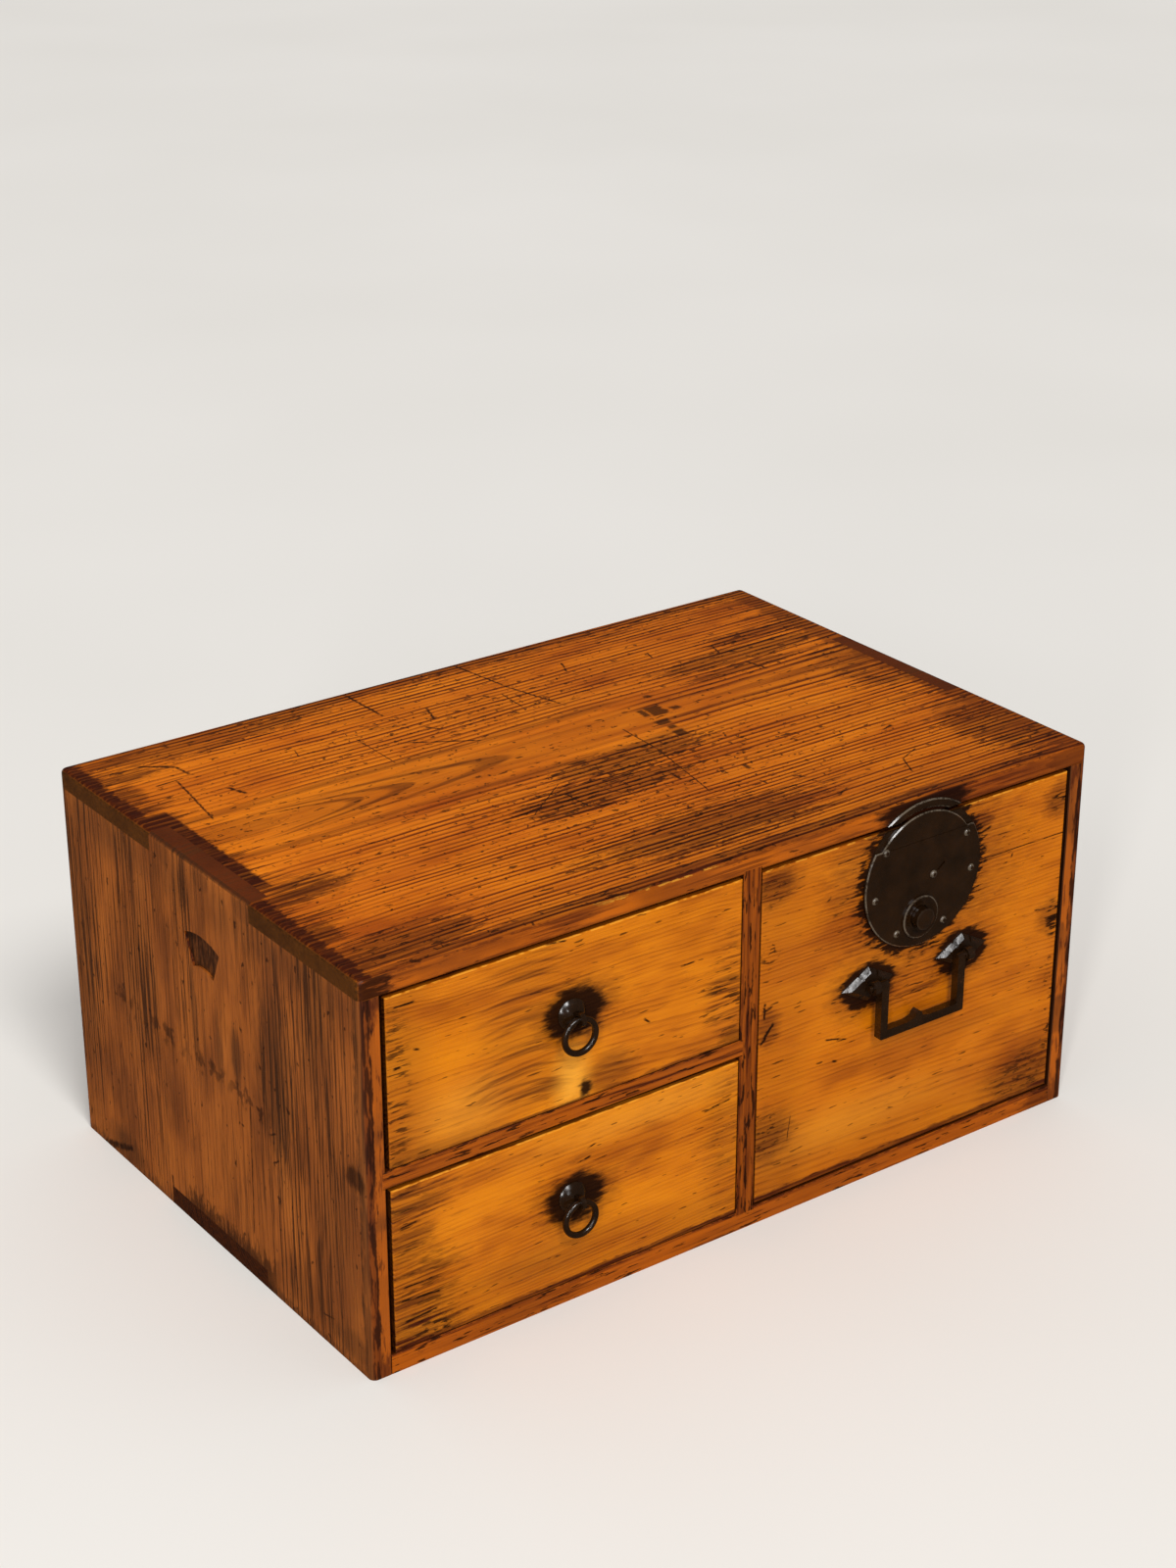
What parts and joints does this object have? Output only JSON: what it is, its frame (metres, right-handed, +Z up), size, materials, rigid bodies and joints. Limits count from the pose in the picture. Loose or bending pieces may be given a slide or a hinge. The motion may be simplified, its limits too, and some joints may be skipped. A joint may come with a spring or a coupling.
{
  "type": "small tansu chest",
  "caption": "Low wooden tabletop chest with two small ring-pull drawers beside a tall drawer that has a bail handle and a round iron push-button lock plate.",
  "frame": {"origin": "middle of the chest's underside", "axes": "+X to the right along the front, +Y to the back, +Z up; the drawer fronts face -Y"},
  "size_m": [0.45, 0.3007, 0.213],
  "materials": {
    "case_wood": "worn reddish-brown lacquer, dark stains",
    "front_wood": "amber lacquer, dark halos round the iron",
    "plain_wood": "bare planed softwood",
    "peg_wood": "bare pegs",
    "iron": "dark lacquered iron, worn at the edges"
  },
  "bodies": {
    "case": {"top_board": "case_wood", "bottom_board": "case_wood", "left_side": "case_wood", "right_side": "case_wood", "back_board": "plain_wood", "back_pegs": "peg_wood", "divider": "case_wood", "shelf_rail": "case_wood", "shelf_board": "plain_wood", "strike_plate": "iron"},
    "upper_drawer": {"upper_drawer_front": "front_wood", "upper_drawer_left_side": "plain_wood", "upper_drawer_right_side": "plain_wood", "upper_drawer_back": "plain_wood", "upper_drawer_bottom": "plain_wood", "upper_drawer_pegs": "peg_wood", "upper_drawer_ring_seat": "iron", "upper_drawer_ring_cotter": "iron"},
    "lower_drawer": {"lower_drawer_front": "front_wood", "lower_drawer_left_side": "plain_wood", "lower_drawer_right_side": "plain_wood", "lower_drawer_back": "plain_wood", "lower_drawer_bottom": "plain_wood", "lower_drawer_pegs": "peg_wood", "lower_drawer_ring_seat": "iron", "lower_drawer_ring_cotter": "iron"},
    "big_drawer": {"big_drawer_front": "front_wood", "big_drawer_left_side": "plain_wood", "big_drawer_right_side": "plain_wood", "big_drawer_back": "plain_wood", "big_drawer_bottom": "plain_wood", "big_drawer_pegs": "peg_wood", "bail_left_seat": "iron", "bail_right_seat": "iron", "bail_left_cotter": "iron", "bail_right_cotter": "iron", "lock_plate": "iron", "lock_nails": "iron", "key_post": "iron", "lock_box": "iron", "lock_box_nails": "iron", "lock_spring": "iron"},
    "upper_ring": {"upper_drawer_pull_ring": "iron"},
    "lower_ring": {"lower_drawer_pull_ring": "iron"},
    "bail": {"bail_handle": "iron"},
    "button": {"lock_button": "iron"},
    "bolt": {"lock_bolt": "iron"}
  },
  "joints": [
    {"name": "upper_drawer_slide", "type": "slide", "parent": "case", "child": "upper_drawer", "axis": [0, -1, 0], "range_m": [0, 0.22]},
    {"name": "lower_drawer_slide", "type": "slide", "parent": "case", "child": "lower_drawer", "axis": [0, -1, 0], "range_m": [0, 0.22]},
    {"name": "big_drawer_slide", "type": "slide", "parent": "case", "child": "big_drawer", "axis": [0, -1, 0], "range_m": [0, 0.22]},
    {"name": "upper_ring_hinge", "type": "hinge", "parent": "upper_drawer", "child": "upper_ring", "pos_m": [-0.1091, -0.152, 0.1598], "axis": [-1, 0, 0], "range_deg": [-12, 190]},
    {"name": "lower_ring_hinge", "type": "hinge", "parent": "lower_drawer", "child": "lower_ring", "pos_m": [-0.1091, -0.152, 0.0593], "axis": [-1, 0, 0], "range_deg": [-12, 190]},
    {"name": "bail_hinge", "type": "hinge", "parent": "big_drawer", "child": "bail", "pos_m": [0.1086, -0.1509, 0.1173], "axis": [-1, 0, 0], "range_deg": [-5, 160]},
    {"name": "bolt_lift", "type": "slide", "parent": "big_drawer", "child": "bolt", "axis": [0, 0, 1], "range_m": [0, 0.005], "stiffness_N_per_m": 200, "springref_m": -0.003, "deforming": ["lock_spring"]},
    {"name": "button_push", "type": "slide", "parent": "big_drawer", "child": "button", "axis": [0, 1, 0], "range_m": [0, 0.005]}
  ],
  "couplings": [
    {"joint": "button_push", "follows": "bolt_lift", "ratio": 1}
  ]
}
